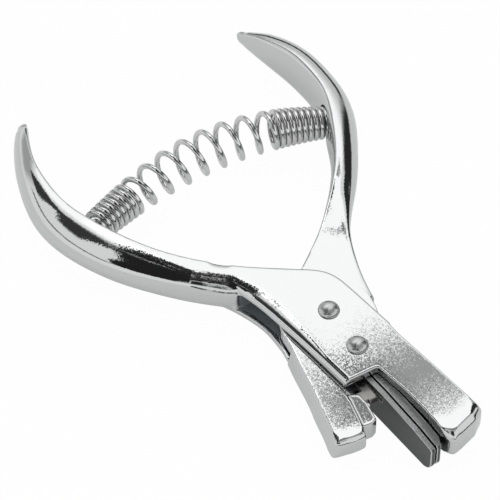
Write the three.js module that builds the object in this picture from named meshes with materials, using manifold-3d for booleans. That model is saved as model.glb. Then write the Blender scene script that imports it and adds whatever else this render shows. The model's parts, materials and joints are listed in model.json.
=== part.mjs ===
// A hand notcher: plier handles held apart by a long spring. The right handle's jaw carries a small
// punch that passes through a pair of plates in the left handle's jaw and bites a notch from
// whatever edge stands in the slot between them.
// Millimetres. The pivot is the middle: +X right, the jaws along -Y, the grips along +Y, +Z up.

import * as THREE from 'three';
import { LoftGeometry } from 'three/addons/geometries/LoftGeometry.js';
import { mergeVertices } from 'three/addons/utils/BufferGeometryUtils.js';
import Module from 'manifold-3d';

const wasm = await Module();
wasm.setup();

// Whole tool
const handleReach = 96; // pivot to where the grips' tips round off, along +Y
const tipRound = 2.3;
const handleSpread = 39.4; // middle plane to the grips' inner faces at their widest
const gripHeight = 13.2; // a grip at its thickest, along Z
const leftGripDepth = 8.8; // inner face to outer side, at the deepest
const rightGripDepth = 6.4;
const jawReach = 46; // scale of everything along the head and jaws
const headWidth = 24; // scale of everything across the head and jaws

// Fork head
const headHeight = 9.2;
const slotHeight = 4.2; // the fork's gap that the punch handle turns in
const webPlay = 0.3; // between the web and each fork plate
const hubRadius = 12.3;
const crotchGap = 3.16; // from the hub to where the two inner curves meet
const slotRearPlay = 0.9; // from there to the end of the slot
const edgeRound = 0.5;
const noseChamfer = 1.4;

// Punch jaw
const jawDrop = 4.3; // middle plane to the jaw's underside
const jawLean = 1.5; // how far its outer side bulges past its top edge
const jawFrontChamfer = 1;
const bossRise = 1.3;
const bossDrop = 4.5;
const bossEdge = 0.35;

// Plates and punch
const plateLean = THREE.MathUtils.degToRad(5.05);
const stripperThickness = 1.3;
const paperSlot = 0.5;
const dieThickness = 2.2;
const pocketPlay = 0.25; // between the die plate and the jaw's wall
const plateDrop = 8.6; // middle plane to the plates' lower edge
const plateFall = 1.8; // how much lower the plates' top edge is at the tip
const plateTopCorner = 1;
const plateFootCorner = 3;
const plateCornerCut = 1.1; // the die plate's bevelled corner beside the nose
const plateCornerLength = 2.2;
const footLap = 0.45; // how far the die plate's foot runs into the plate
const notchWidth = 6.35;
const notchDepth = 1.6; // the punch's thickness
const punchPlay = 0.25; // above and below the punch in the plates
const punchEndPlay = 0.5; // before and behind it
const spacerPlay = 0.1;
const punchTangPlay = 0.1;

// Rivets
const rivetRadius = 1.5;
const rivetHeadRadius = 2.7;
const rivetHeadRise = 1.7;
const rivetPlay = 0.1;
const pinRadius = 0.45;
const pinPlay = 0.06;

// Return spring
const springWire = 1.3;
const springPitch = 1.82; // centre to centre in the packed ends
const packedCurls = [7.5, 9.75]; // at the left and right ends
const openCurls = 7;
const openingCurls = 0.5; // either side of where the pitch opens
const springSeatGap = 0.3;
const springStartAngle = Math.PI / 2; // the wire's ends meet the grips above and below the peg
const springEndBend = 1.2;
const springArms = [21, 34.7]; // how far each end keeps the direction of its seat
const springArmRises = [-2.1, 4.3]; // and how far it climbs there
const seatDrop = 0.4; // the seats lie below the middle plane
const seatSinks = [0, 2.8]; // and the right one in a pocket of its grip
const pocketRadius = 5;
const pegRadius = 2.2;
const pegLength = 4.5;

// Fineness and what cuts run past their work
const overrun = 5;
const gripSections = 36;
const gripSides = 24;
const tipSteps = 4;
const roundSteps = 32;
const bevelSteps = 2;
const cornerSteps = 8;
const pinSteps = 16;
const domeSteps = 6;
const curlSteps = 8;
const bendSteps = 3;
const wireSides = 5;
const lengthSteps = 800;
const mergeStep = 1e-4;

// Shares chosen by hand from the object's outline

// The grips' inner curve from tip to crotch, of handleSpread and of the reach past the crotch
const innerCurveShares = [
  [0.838, 1], [0.914, 0.911], [0.98, 0.806], [1, 0.696], [0.981, 0.589],
  [0.883, 0.458], [0.673, 0.286], [0.38, 0.138], [0.018, 0],
];
const tipCrowdingShare = 0.4; // how closely the sections stand at the tip
const tipPointShare = 0.9; // how far round the tip's own round its last ring lies
// Along that curve: height, depth and squareness, of half the grip height, the depth and an ellipse
const leftGripShares = [
  [0, 0.3, 0.3, 1], [0.015, 0.43, 0.37, 1], [0.08, 0.71, 0.475, 1], [0.18, 0.95, 0.59, 1],
  [0.3, 1, 0.818, 1], [0.42, 0.985, 0.95, 1], [0.54, 0.915, 0.96, 1.1], [0.66, 0.82, 0.88, 1.35],
  [0.78, 0.73, 0.87, 1.9], [1, 0.7, 0.87, 2],
];
const rightGripShares = [
  [0, 0.3, 0.35, 1], [0.015, 0.42, 0.45, 1], [0.08, 0.71, 0.78, 1], [0.18, 0.95, 0.92, 1],
  [0.3, 1, 0.953, 1], [0.42, 0.985, 1, 1], [0.54, 0.915, 0.9, 1.05], [0.66, 0.78, 0.86, 1.2],
  [0.74, 0.52, 0.92, 1.6],
];
// Where the right grip has thinned to the web, and the web's depth on the way to the hub
const webStartShare = 0.82;
const webDepthShares = [[0.82, 1.2], [0.9, 1.93], [1, 3.15]];
const webSquareness = 2.4;
// The inner faces swell a little out of the inner curve, and the right neck's more, of the depth
const leftSwellShares = [[0, 0.1], [0.2, 0.12], [0.45, 0.1], [0.7, 0.05], [1, 0]];
const rightSwellShares = [
  [0, 0.18], [0.15, 0.33], [0.38, 0.3], [0.48, 0.35], [0.58, 0.26], [0.68, 0.2], [0.8, 0.05], [1, 0],
];
// Where along the inner curves the spring's left and right ends sit
const springSeatShares = [0.427, 0.417];
// Across its curls from middle to middle of the wire, by the place along it
const springCurlDiameters = [[0, 6.8], [0.25, 8.9], [0.5, 10.5], [0.75, 9.6], [1, 6.8]];

// Outlines in the head and jaws, of headWidth and jawReach
const topPlateLeftShares = [
  [-0.79, 0.51], [-0.672, 0.425], [-0.583, 0.3], [-0.517, 0.15], [-0.456, -0.06],
  [-0.404, -0.26], [-0.355, -0.449],
];
const bottomPlateLeftShares = [
  [-0.83, 0.52], [-0.7, 0.4], [-0.6, 0.27], [-0.55, 0.16], [-0.542, 0.02],
];
const bottomPlateJawShares = [[-0.56, -0.057], [-0.408, -0.152], [-0.246, -0.463]];
const plateFrontShares = [[0.15, -0.456], [0.15, -0.463]]; // on the bar, of the upper and lower fork plate
const headRightShares = [
  [0.447, -0.24], [0.407, -0.1], [0.38, 0], [0.35, 0.1], [0.32, 0.17], [0.26, 0.235],
  [0.167, 0.285], [0.03, 0.335],
];
const headNeckShares = [[-0.4, 0.49], [-0.7, 0.61]];
const windowShares = [[0.025, -0.452], [0.096, -0.645], [0.129, -0.806], [0.15, -1.02]];
const barShares = [
  [0.23, -0.2], [0.427, -0.17], [0.447, -0.24], [0.463, -0.335], [0.53, -0.56], [0.58, -0.745],
  [0.617, -0.874], [0.656, -0.941], [0.52, -0.986], [0.205, -1.036], [0.13, -0.985], [-0.1, -0.6],
];
const barFrontEdges = [7, 9]; // first and last that carry the nose chamfer
const forkMouthShares = [[0.5, -0.155], [0.23, -0.2], [0.23, -0.47]];
const slotFrontShares = [[0, -0.5]];
const jawOuterShares = [
  [-0.527, -0.075], [-0.569, -0.185], [-0.6, -0.29], [-0.633, -0.387], [-0.679, -0.487],
  [-0.72, -0.6], [-0.762, -0.68], [-0.778, -0.722],
];
const jawFrontShares = [[-0.756, -0.737], [-0.467, -0.757]];
const jawInnerShares = [[-0.433, -0.652], [-0.388, -0.533], [-0.375, -0.46], [-0.45, -0.14]];
const jawBulgeShares = [0.7, 1, 0.33, 0]; // of jawLean, from its underside to its top
const webJawPoints = 5; // how many of the jaw's outer points bound the web too
const hubMouthShares = [[-0.345, -0.456], [-0.225, -0.255], [-0.1, -0.188], [0.333, -0.15]];
const hubFrontShare = -0.12; // where the hub's round starts, of jawReach
const bossShares = [
  [-0.44, -0.46], [-0.31, -0.485], [-0.255, -0.505], [-0.242, -0.58], [-0.275, -0.69],
  [-0.34, -0.705], [-0.46, -0.697], [-0.5, -0.6],
];

// Behind the window: where the plates, their spacer, pins and foot lie, of jawReach
const dieRivetShare = 0.28;
const footRearShare = 0.224;
const footFrontShare = 0.352;
const plateRearShare = 0.361;
const spacerFrontShare = 0.411;
const pinShare = 0.387;
const plateLowRearShare = 0.478;
const plateKinkShare = 0.839;
const plateTipShare = 0.986;
const footLeftShare = -0.13; // of headWidth
const footRightShare = 0.15;
const pinHeightShare = 0.26; // of the web
const plateKinkFallShare = 0.5; // of the whole fall
const punchRearShare = 0.429; // of jawReach
// The punch's hollow cutting end, from rear to front, of how far it reaches into its hole at the
// rear and of its width, and its shank
const punchEndShares = [[1, 0], [0.94, 0.13], [0.55, 0.31], [0.1, 0.56], [0.1, 0.81], [0.25, 1]];
const punchEntry = 1;
const punchStandoff = 0.35; // from the stripper plate to the deepest of the hollow end
const punchShankShare = 0.42; // of the punch's width, the visible block's length
const tangShares = [0.45, 0.9]; // the tang's sides, of the punch's width
const tangReachShare = -0.44; // of headWidth

const halfHead = headHeight / 2;
const halfSlot = slotHeight / 2;
const halfWeb = halfSlot - webPlay;
const crotch = hubRadius + crotchGap;
const slotRear = crotch + slotRearPlay;

// A value between the rows of a table whose first column is the place along the grip
function along(rows, place, column) {
  const last = rows.length - 1;
  let index = 0;
  while (index < last - 1 && place > rows[index + 1][0]) index += 1;
  const slope = (k) => {
    const low = Math.max(k - 1, 0);
    const high = Math.min(k + 1, last);
    return (rows[high][column] - rows[low][column]) / (rows[high][0] - rows[low][0]);
  };
  const span = rows[index + 1][0] - rows[index][0];
  const step = Math.min(Math.max((place - rows[index][0]) / span, 0), 1);
  const start = rows[index][column];
  const end = rows[index + 1][column];
  const square = step * step;
  const cube = square * step;
  return (2 * cube - 3 * square + 1) * start + (cube - 2 * square + step) * span * slope(index)
    + (3 * square - 2 * cube) * end + (cube - square) * span * slope(index + 1);
}

const spot = ([across, away]) => new THREE.Vector2(across * headWidth, away * jawReach);
const spots = (shares) => shares.map(spot);

// A smooth line through a few outline points
function smooth(points, steps = 4) {
  const curve = new THREE.SplineCurve(points);
  return curve.getPoints((points.length - 1) * steps);
}

function toSolid(geometry) {
  const bare = new THREE.BufferGeometry();
  bare.setAttribute('position', geometry.attributes.position);
  bare.setIndex(geometry.index);
  const merged = mergeVertices(bare, mergeStep);
  return new wasm.Manifold(new wasm.Mesh({
    numProp: 3,
    vertProperties: merged.attributes.position.array,
    triVerts: Uint32Array.from(merged.index.array),
  }));
}

function toGeometry(body) {
  const mesh = body.getMesh();
  const geometry = new THREE.BufferGeometry();
  geometry.setAttribute('position', new THREE.BufferAttribute(mesh.vertProperties, mesh.numProp));
  geometry.setIndex(new THREE.BufferAttribute(mesh.triVerts, 1));
  geometry.computeVertexNormals();
  return geometry;
}

// A flat piece between two levels, its edges bevelled inside its outline
function slab(outline, low, high, bevel = 0) {
  const geometry = new THREE.ExtrudeGeometry(new THREE.Shape(outline), {
    depth: high - low - 2 * bevel,
    bevelEnabled: bevel > 0,
    bevelThickness: bevel,
    bevelSize: bevel,
    bevelOffset: -bevel,
    bevelSegments: bevelSteps,
  });
  geometry.translate(0, 0, low + bevel);
  return toSolid(geometry);
}

// A piece skinned over horizontal outlines that change from level to level
function stack(levels) {
  const clockwise = THREE.ShapeUtils.isClockWise(levels[0].outline);
  const sections = levels.map(({ level, outline }) => {
    const section = outline.map((point) => new THREE.Vector3(point.x, point.y, level));
    return clockwise ? section.reverse() : section;
  });
  return toSolid(new LoftGeometry(sections, { capStart: true, capEnd: true }));
}

// An outline with each edge moved in by its own amount
function drawnIn(outline, amounts) {
  const count = outline.length;
  const turn = THREE.ShapeUtils.isClockWise(outline) ? -1 : 1;
  const edges = outline.map((point, k) => {
    const way = outline[(k + 1) % count].clone().sub(point).normalize();
    return { normal: new THREE.Vector2(-turn * way.y, turn * way.x), amount: amounts[k] };
  });
  return outline.map((point, k) => {
    const a = edges[(k + count - 1) % count];
    const b = edges[k];
    const cross = a.normal.cross(b.normal);
    const inA = point.dot(a.normal) + a.amount;
    const inB = point.dot(b.normal) + b.amount;
    if (Math.abs(cross) < mergeStep) return point.clone().addScaledVector(b.normal, b.amount);
    return new THREE.Vector2(
      (inA * b.normal.y - inB * a.normal.y) / cross,
      (inB * a.normal.x - inA * b.normal.x) / cross);
  });
}

function roundBar(radius, low, high, x = 0, y = 0) {
  const geometry = new THREE.CylinderGeometry(radius, radius, high - low, roundSteps);
  geometry.rotateX(Math.PI / 2);
  geometry.translate(x, y, (low + high) / 2);
  return toSolid(geometry);
}

function metal(color, roughness) {
  return new THREE.MeshStandardMaterial({ color, roughness, metalness: 1 });
}

const chrome = () => metal(0xd9dcde, 0.12);
const nickel = () => metal(0xa9adb0, 0.25);
const blackened = () => metal(0x454745, 0.45);
const toolSteel = () => metal(0x7d736a, 0.35);
const springSteel = () => metal(0xb9bcbe, 0.2);

function piece(name, geometry, material) {
  const mesh = new THREE.Mesh(geometry, material);
  mesh.name = name;
  return mesh;
}

// Grips

// The inner curve of one handle, side -1 for the left and 1 for the right
function innerCurve(side) {
  const points = innerCurveShares.map(([across, away]) => new THREE.Vector3(
    side * across * handleSpread, THREE.MathUtils.lerp(crotch, handleReach, away), 0));
  return new THREE.CatmullRomCurve3(points, false, 'centripetal');
}

// Away from the space between the handles, square to the inner curve
function outward(curve, side, place) {
  const tangent = curve.getTangentAt(place);
  return new THREE.Vector3(-side * tangent.y, side * tangent.x, 0);
}

// One ring of a grip: flat or slightly swollen inside, rounded outside
function gripRing(curve, side, place, half, depth, swell, squareness) {
  const middle = curve.getPointAt(place);
  const away = outward(curve, side, place);
  const ring = [];
  for (let k = 0; k < gripSides; k += 1) {
    const angle = side * k / gripSides * 2 * Math.PI;
    const power = 1 / squareness;
    const across = Math.abs(Math.cos(angle)) ** power * (Math.cos(angle) > 0 ? depth : -swell);
    const up = Math.abs(Math.sin(angle)) ** power * Math.sign(Math.sin(angle)) * half;
    ring.push(middle.clone().addScaledVector(away, across).setZ(up));
  }
  return ring;
}

// The tip is rounded by rings that shrink as they leave the first one
function tipRings(curve, ring) {
  const beyond = curve.getTangentAt(0).negate();
  const middle = new THREE.Vector3();
  ring.forEach((point) => middle.addScaledVector(point, 1 / ring.length));
  const rings = [];
  for (let k = 0; k < tipSteps; k += 1) {
    const turn = (tipPointShare - k / tipSteps) * Math.PI / 2;
    rings.push(ring.map((point) => point.clone().sub(middle).multiplyScalar(Math.cos(turn))
      .add(middle).addScaledVector(beyond, tipRound * Math.sin(turn))));
  }
  return rings;
}

function gripBody(side, measure) {
  const curve = innerCurve(side);
  const tip = measure(0);
  const rings = tipRings(
    curve, gripRing(curve, side, 0, tip.half, tip.depth, tip.swell, tip.squareness));
  for (let k = 0; k <= gripSections; k += 1) {
    const share = k / gripSections;
    const place = share * THREE.MathUtils.lerp(tipCrowdingShare, 1, share);
    const { half, depth, swell, squareness } = measure(place);
    rings.push(gripRing(curve, side, place, half, depth, swell, squareness));
  }
  return toSolid(new LoftGeometry(rings, { capStart: true, capEnd: true }));
}

function leftMeasure(place) {
  const depth = along(leftGripShares, place, 2) * leftGripDepth;
  return {
    half: along(leftGripShares, place, 1) * gripHeight / 2,
    depth,
    swell: along(leftSwellShares, place, 1) * depth,
    squareness: along(leftGripShares, place, 3),
  };
}

// The right handle thins from its neck to the web that turns in the fork
function rightMeasure(place) {
  const neck = rightGripShares[rightGripShares.length - 1];
  const web = [webStartShare, 2 * halfWeb / gripHeight, webDepthShares[0][1], webSquareness];
  const rows = [...rightGripShares, web];
  const past = place > webStartShare;
  const depth = rightGripDepth * (past ? along(webDepthShares, place, 1) : along(rows, place, 2));
  const thin = place > neck[0]
    ? THREE.MathUtils.smoothstep(place, neck[0], webStartShare)
    : 0;
  const grip = along(rightGripShares, Math.min(place, neck[0]), 1) * gripHeight / 2;
  return {
    half: THREE.MathUtils.lerp(grip, halfWeb, thin),
    depth,
    swell: along(rightSwellShares, place, 1) * Math.min(depth, rightGripDepth),
    squareness: past ? webSquareness : along(rows, place, 3),
  };
}

// Where the spring bears on a grip, on the crown of its face or sunk into it, and the way inward
function springSeat(side) {
  const end = side < 0 ? 0 : 1;
  const place = springSeatShares[end];
  const curve = innerCurve(side);
  const inward = outward(curve, side, place).negate();
  const { swell } = side < 0 ? leftMeasure(place) : rightMeasure(place);
  const point = curve.getPointAt(place).addScaledVector(inward, swell - seatSinks[end]);
  return { point: point.setZ(-seatDrop), inward };
}

// A round bar along a seat's way inward, between two distances from it
function seatBar(side, radius, from, to) {
  const { point, inward } = springSeat(side);
  const geometry = new THREE.CylinderGeometry(radius, radius, to - from, roundSteps);
  geometry.applyQuaternion(
    new THREE.Quaternion().setFromUnitVectors(new THREE.Vector3(0, 1, 0), inward));
  const middle = point.addScaledVector(inward, (from + to) / 2);
  geometry.translate(middle.x, middle.y, middle.z);
  return toSolid(geometry);
}

// The peg that the spring's end sits on
function springPeg(side) {
  return seatBar(side, pegRadius, -Math.min(leftGripDepth, rightGripDepth) / 2, pegLength);
}

// Left handle with the fork head and the die jaw

function plateWall(across, away) {
  return new THREE.Vector2(across, away).rotateAround(new THREE.Vector2(), plateLean);
}

function dieHandle() {
  const [topFront, bottomFront] = spots(plateFrontShares);
  const top = [
    ...smooth(spots(topPlateLeftShares)),
    topFront,
    ...smooth(spots(headRightShares)),
    ...spots(headNeckShares),
  ];
  const bottom = [
    ...smooth(spots(bottomPlateLeftShares)),
    ...spots(bottomPlateJawShares),
    bottomFront,
    ...smooth(spots(headRightShares)),
    ...spots(headNeckShares),
  ];
  const bar = spots(barShares);
  const bevels = bar.map((point, edge) => {
    if (edge > barFrontEdges[1] || edge < 1) return 0;
    return edge < barFrontEdges[0] ? edgeRound : noseChamfer;
  });
  const drawn = drawnIn(bar, bevels);
  const [slotFront] = spots(slotFrontShares);
  const slotCut = [
    new THREE.Vector2(-headWidth - overrun, slotRear),
    new THREE.Vector2(-headWidth - overrun, slotFront.y),
    slotFront,
    ...spots(forkMouthShares).reverse(),
    new THREE.Vector2(headWidth + overrun, spot(forkMouthShares[0]).y),
    new THREE.Vector2(headWidth + overrun, slotRear),
  ];
  const bayRear = -footFrontShare * jawReach;
  const bay = [
    plateWall(0, bayRear),
    plateWall(-headWidth - overrun, bayRear),
    plateWall(-headWidth - overrun, -jawReach - overrun),
    plateWall(0, -jawReach - overrun),
  ];
  const lowBayRear = spot(bottomPlateJawShares[2]).y;
  const window = [
    ...spots(windowShares),
    new THREE.Vector2(-headWidth - overrun, spot(windowShares[3]).y - overrun),
    new THREE.Vector2(-headWidth - overrun, spot(windowShares[0]).y),
  ];
  const lowBay = [
    plateWall(0, lowBayRear),
    plateWall(-headWidth - overrun, lowBayRear),
    plateWall(-headWidth - overrun, -jawReach - overrun),
    plateWall(0, -jawReach - overrun),
  ];
  return gripBody(-1, leftMeasure)
    .add(slab(top, halfSlot, halfHead, edgeRound))
    .add(slab(bottom, -halfHead, -halfSlot, edgeRound))
    .add(stack([
      { level: -halfHead, outline: drawn },
      { level: -halfHead + noseChamfer, outline: bar },
      { level: halfHead - noseChamfer, outline: bar },
      { level: halfHead, outline: drawn },
    ]))
    .add(springPeg(-1))
    .subtract(slab(slotCut, -halfSlot, halfSlot))
    .subtract(slab(bay, -halfSlot, halfSlot))
    .subtract(slab(lowBay, -halfHead - overrun, halfSlot))
    .subtract(slab(window, halfSlot - webPlay, halfHead + overrun))
    .subtract(roundBar(rivetRadius + rivetPlay, -halfHead - overrun, halfHead + overrun))
    .subtract(roundBar(rivetRadius + rivetPlay, -halfHead - overrun, halfHead + overrun,
      0, -dieRivetShare * jawReach));
}

// Right handle with the web, hub and punch jaw

function punchHandle() {
  const hub = [];
  const hubStart = Math.asin(hubFrontShare * jawReach / hubRadius);
  for (let k = 0; k <= roundSteps; k += 1) {
    const angle = THREE.MathUtils.lerp(hubStart, Math.PI, k / roundSteps);
    hub.push(new THREE.Vector2(hubRadius * Math.cos(angle), hubRadius * Math.sin(angle)));
  }
  const web = [
    ...hub,
    ...spots(jawOuterShares.slice(0, webJawPoints)),
    ...spots(hubMouthShares),
  ];
  const outer = smooth(spots(jawOuterShares), 3);
  const front = spots(jawFrontShares);
  const inner = spots(jawInnerShares);
  const levels = [
    { level: -jawDrop, draw: jawFrontChamfer / 2 },
    { level: -jawDrop + jawFrontChamfer, draw: 0 },
    { level: halfWeb - jawFrontChamfer, draw: 0 },
    { level: halfWeb, draw: jawFrontChamfer },
  ];
  const jaw = stack(levels.map(({ level, draw }, k) => {
    const lean = new THREE.Vector2(-jawBulgeShares[k] * jawLean, 0);
    const side = outer.map((point) => point.clone().add(lean));
    const nose = front.map((point) => point.clone().add(new THREE.Vector2(0, draw)));
    return { level, outline: [...side, ...nose, ...inner] };
  }));
  return gripBody(1, rightMeasure)
    .add(slab(web, -halfWeb, halfWeb))
    .add(jaw)
    .add(slab(spots(bossShares), -bossDrop, bossRise, bossEdge))
    .subtract(seatBar(1, pocketRadius, 0, seatSinks[1] + overrun))
    .add(springPeg(1))
    .subtract(slab(tangOutline(punchTangPlay), -notchDepth / 2, notchDepth / 2))
    .subtract(slab(shankRoom(punchTangPlay), -notchDepth / 2, notchDepth / 2))
    .subtract(roundBar(rivetRadius + rivetPlay, -halfWeb - overrun, halfWeb + overrun));
}

// Rivets: two domed heads on one shank, standing through the head
function rivet() {
  const profile = [];
  const arc = (sign) => {
    for (let k = 0; k <= domeSteps; k += 1) {
      const angle = (k / domeSteps) * Math.PI / 2;
      profile.push(new THREE.Vector2(
        rivetHeadRadius * Math.sin(angle),
        sign * (halfHead + rivetHeadRise * Math.cos(angle))));
    }
  };
  arc(-1);
  profile.push(new THREE.Vector2(rivetRadius, -halfHead), new THREE.Vector2(rivetRadius, halfHead));
  const upper = profile.length;
  arc(1);
  profile.splice(upper, profile.length, ...profile.slice(upper).reverse());
  const geometry = new THREE.LatheGeometry(profile, roundSteps);
  geometry.rotateX(Math.PI / 2);
  return toGeometry(toSolid(geometry));
}

// Plates of the die, drawn in their own leaning frame, whose wall of the jaw is at across 0
const dieFace = -pocketPlay;
const dieInner = dieFace - dieThickness;
const stripperInner = dieInner - paperSlot;
const stripperFace = stripperInner - stripperThickness;
const punchRear = -punchRearShare * jawReach;

// A plate seen from its side, along Y and up
function plateSide() {
  const tip = plateTipShare * jawReach;
  const rear = plateRearShare * jawReach;
  const fallEnd = halfWeb - plateFall;
  const side = new THREE.Shape();
  side.moveTo(rear, halfWeb);
  side.lineTo(rear, -halfWeb);
  side.lineTo(plateLowRearShare * jawReach, -halfWeb);
  side.lineTo(plateLowRearShare * jawReach, -plateDrop);
  side.lineTo(tip - plateFootCorner, -plateDrop);
  side.absarc(tip - plateFootCorner, -plateDrop + plateFootCorner, plateFootCorner,
    -Math.PI / 2, 0, false);
  side.lineTo(tip, fallEnd - plateTopCorner);
  side.absarc(tip - plateTopCorner, fallEnd - plateTopCorner, plateTopCorner, 0, Math.PI / 2, false);
  side.lineTo(plateKinkShare * jawReach, halfWeb - plateFall * plateKinkFallShare);
  side.lineTo(-punchRear + notchWidth, halfWeb);
  return side;
}

// The side outline given a thickness across, between two faces
function standing(shape, from, to) {
  const geometry = new THREE.ExtrudeGeometry(shape, {
    depth: to - from, bevelEnabled: false, curveSegments: cornerSteps,
  });
  geometry.rotateX(Math.PI / 2);
  geometry.rotateZ(-Math.PI / 2);
  geometry.translate(to, 0, 0);
  return toSolid(geometry);
}

// The square hole that the punch passes through
function punchHole() {
  const hole = new THREE.BoxGeometry(
    headWidth, notchWidth + 2 * punchEndPlay, notchDepth + 2 * punchPlay);
  hole.translate(0, punchRear - notchWidth / 2, 0);
  return toSolid(hole);
}

function crossPin(radius, from, to, sign) {
  const geometry = new THREE.CylinderGeometry(radius, radius, to - from, pinSteps);
  geometry.rotateZ(Math.PI / 2);
  geometry.translate((from + to) / 2, -pinShare * jawReach, sign * pinHeightShare * 2 * halfWeb);
  return toSolid(geometry);
}

function withPinHoles(body) {
  return body
    .subtract(crossPin(pinRadius + pinPlay, -headWidth, headWidth, 1))
    .subtract(crossPin(pinRadius + pinPlay, -headWidth, headWidth, -1));
}

function stripperPlate() {
  return withPinHoles(standing(plateSide(), stripperFace, stripperInner).subtract(punchHole()));
}

function diePlate() {
  const footLeft = footLeftShare * headWidth;
  const footRight = footRightShare * headWidth;
  const footRear = -footRearShare * jawReach;
  const footFront = -footFrontShare * jawReach;
  const footEnd = -plateRearShare * jawReach - footLap;
  const foot = [
    new THREE.Vector2(footLeft, footRear),
    new THREE.Vector2(footLeft, footFront),
    new THREE.Vector2(dieInner, footFront),
    new THREE.Vector2(dieInner, footEnd),
    new THREE.Vector2(dieFace, footEnd),
    new THREE.Vector2(dieFace, footFront + pocketPlay),
    new THREE.Vector2(footRight, footFront + pocketPlay),
    new THREE.Vector2(footRight, footRear),
  ];
  const rivetPlace = plateFrame(0, -dieRivetShare * jawReach);
  const tip = -plateTipShare * jawReach;
  const corner = [
    new THREE.Vector2(dieFace - plateCornerCut, tip),
    new THREE.Vector2(dieFace - plateCornerCut, tip - overrun),
    new THREE.Vector2(dieFace + overrun, tip - overrun),
    new THREE.Vector2(dieFace + overrun, tip + plateCornerLength),
    new THREE.Vector2(dieFace, tip + plateCornerLength),
  ];
  return withPinHoles(standing(plateSide(), dieInner, dieFace)
    .subtract(punchHole())
    .add(slab(foot, -halfWeb, halfWeb))
    .subtract(slab(corner, -plateDrop - overrun, halfWeb + overrun))
    .subtract(roundBar(rivetRadius + rivetPlay, -halfHead, halfHead, rivetPlace.x, rivetPlace.y)));
}

function paperStop() {
  const strip = new THREE.BoxGeometry(
    paperSlot - 2 * spacerPlay, (spacerFrontShare - plateRearShare) * jawReach, 2 * halfWeb);
  strip.translate(stripperInner + paperSlot / 2,
    -(spacerFrontShare + plateRearShare) / 2 * jawReach, 0);
  return withPinHoles(toSolid(strip));
}

// A place in the tool's frame, in the plates' leaning frame
function plateFrame(x, y) {
  return new THREE.Vector2(x, y).rotateAround(new THREE.Vector2(), -plateLean);
}

// Punch

// Where the stripper plate's outer face is, in the tool's frame, at a distance along -Y
function stripperX(y) {
  return (stripperFace + y * -Math.sin(plateLean)) / Math.cos(plateLean);
}

function tangOutline(play) {
  const [rear, front] = tangShares.map((share) => punchRear - notchWidth * share);
  return [
    new THREE.Vector2(shankX(), rear + play),
    new THREE.Vector2(tangReachShare * headWidth - play, rear + play),
    new THREE.Vector2(tangReachShare * headWidth - play, front - play),
    new THREE.Vector2(shankX(), front - play),
  ];
}

// Where the block widens past the tang
function shankX() {
  return stripperX(punchRear - notchWidth) - punchStandoff - punchShankShare * notchWidth;
}

// The room that the jaw leaves round the block
function shankRoom(play) {
  const front = punchRear - notchWidth;
  return [
    new THREE.Vector2(shankX() - play, punchRear + play),
    new THREE.Vector2(shankX() - play, front - play),
    new THREE.Vector2(stripperX(front), front - play),
    new THREE.Vector2(stripperX(front), punchRear + play),
  ];
}

function punchBlade() {
  const end = punchEndShares.map(([reach, width]) => {
    const y = punchRear - width * notchWidth;
    return new THREE.Vector2(
      stripperX(y) - punchStandoff + reach * (punchEntry + punchStandoff) * (1 - width), y);
  });
  const outline = [
    new THREE.Vector2(shankX(), punchRear),
    ...tangOutline(0),
    new THREE.Vector2(shankX(), punchRear - notchWidth),
    ...end.reverse(),
  ];
  return slab(outline, -notchDepth / 2, notchDepth / 2);
}

// Return spring: one wire whose curls are packed at both ends and open in the middle

function springLine() {
  const seats = [-1, 1].map(springSeat);
  const arms = seats.map(({ point, inward }, end) => point.clone()
    .addScaledVector(inward, springArms[end])
    .add(new THREE.Vector3(0, 0, springArmRises[end])));
  return new THREE.CubicBezierCurve3(seats[0].point, arms[0], arms[1], seats[1].point);
}

// The wire's stations: how far along the line, and the angle round it
function springStations(length) {
  const step = 2 * Math.PI / curlSteps;
  const curls = packedCurls[0] + openCurls + packedCurls[1];
  const radius = springCurlDiameters[0][1] / 2;
  const start = [[springSeatGap, 0], [springSeatGap + springWire, 0]];
  for (let k = 1; k <= bendSteps; k += 1) {
    const turn = (k / bendSteps) * Math.PI / 2;
    start.push([
      springSeatGap + springWire + springEndBend * Math.sin(turn),
      springEndBend * (1 - Math.cos(turn)) / radius,
    ]);
  }
  const [firstRise, firstAngle] = start[start.length - 1];
  const steps = curls * curlSteps;
  const openness = (k) => {
    const pastLeft = k / curlSteps - packedCurls[0];
    const pastRight = openCurls - pastLeft;
    return THREE.MathUtils.smoothstep(
      Math.min(pastLeft, pastRight), -openingCurls, openingCurls);
  };
  let openSum = 0;
  for (let k = 0; k < steps; k += 1) openSum += openness(k + 0.5);
  const packedRise = springPitch / curlSteps;
  const extra = (length - 2 * firstRise - steps * packedRise) / openSum;
  const stations = [...start];
  let rise = firstRise;
  for (let k = 0; k < steps; k += 1) {
    rise += packedRise + extra * openness(k + 0.5);
    stations.push([rise, firstAngle + (k + 1) * step]);
  }
  const [, lastAngle] = stations[stations.length - 1];
  start.slice(0, -1).reverse().forEach(([back, turned]) => {
    stations.push([length - back, lastAngle + firstAngle - turned]);
  });
  return stations;
}

function springPath() {
  const line = springLine();
  line.arcLengthDivisions = lengthSteps;
  const length = line.getLength();
  return springStations(length).map(([rise, angle]) => {
    const share = Math.min(Math.max(rise / length, 0), 1);
    const tangent = line.getTangentAt(share);
    const turned = springStartAngle + angle;
    const side = new THREE.Vector3(0, 0, 1).cross(tangent).normalize();
    const up = new THREE.Vector3().crossVectors(tangent, side);
    const radius = along(springCurlDiameters, share, 1) / 2;
    return line.getPointAt(share)
      .addScaledVector(side, radius * Math.cos(turned))
      .addScaledVector(up, radius * Math.sin(turned));
  });
}

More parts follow.
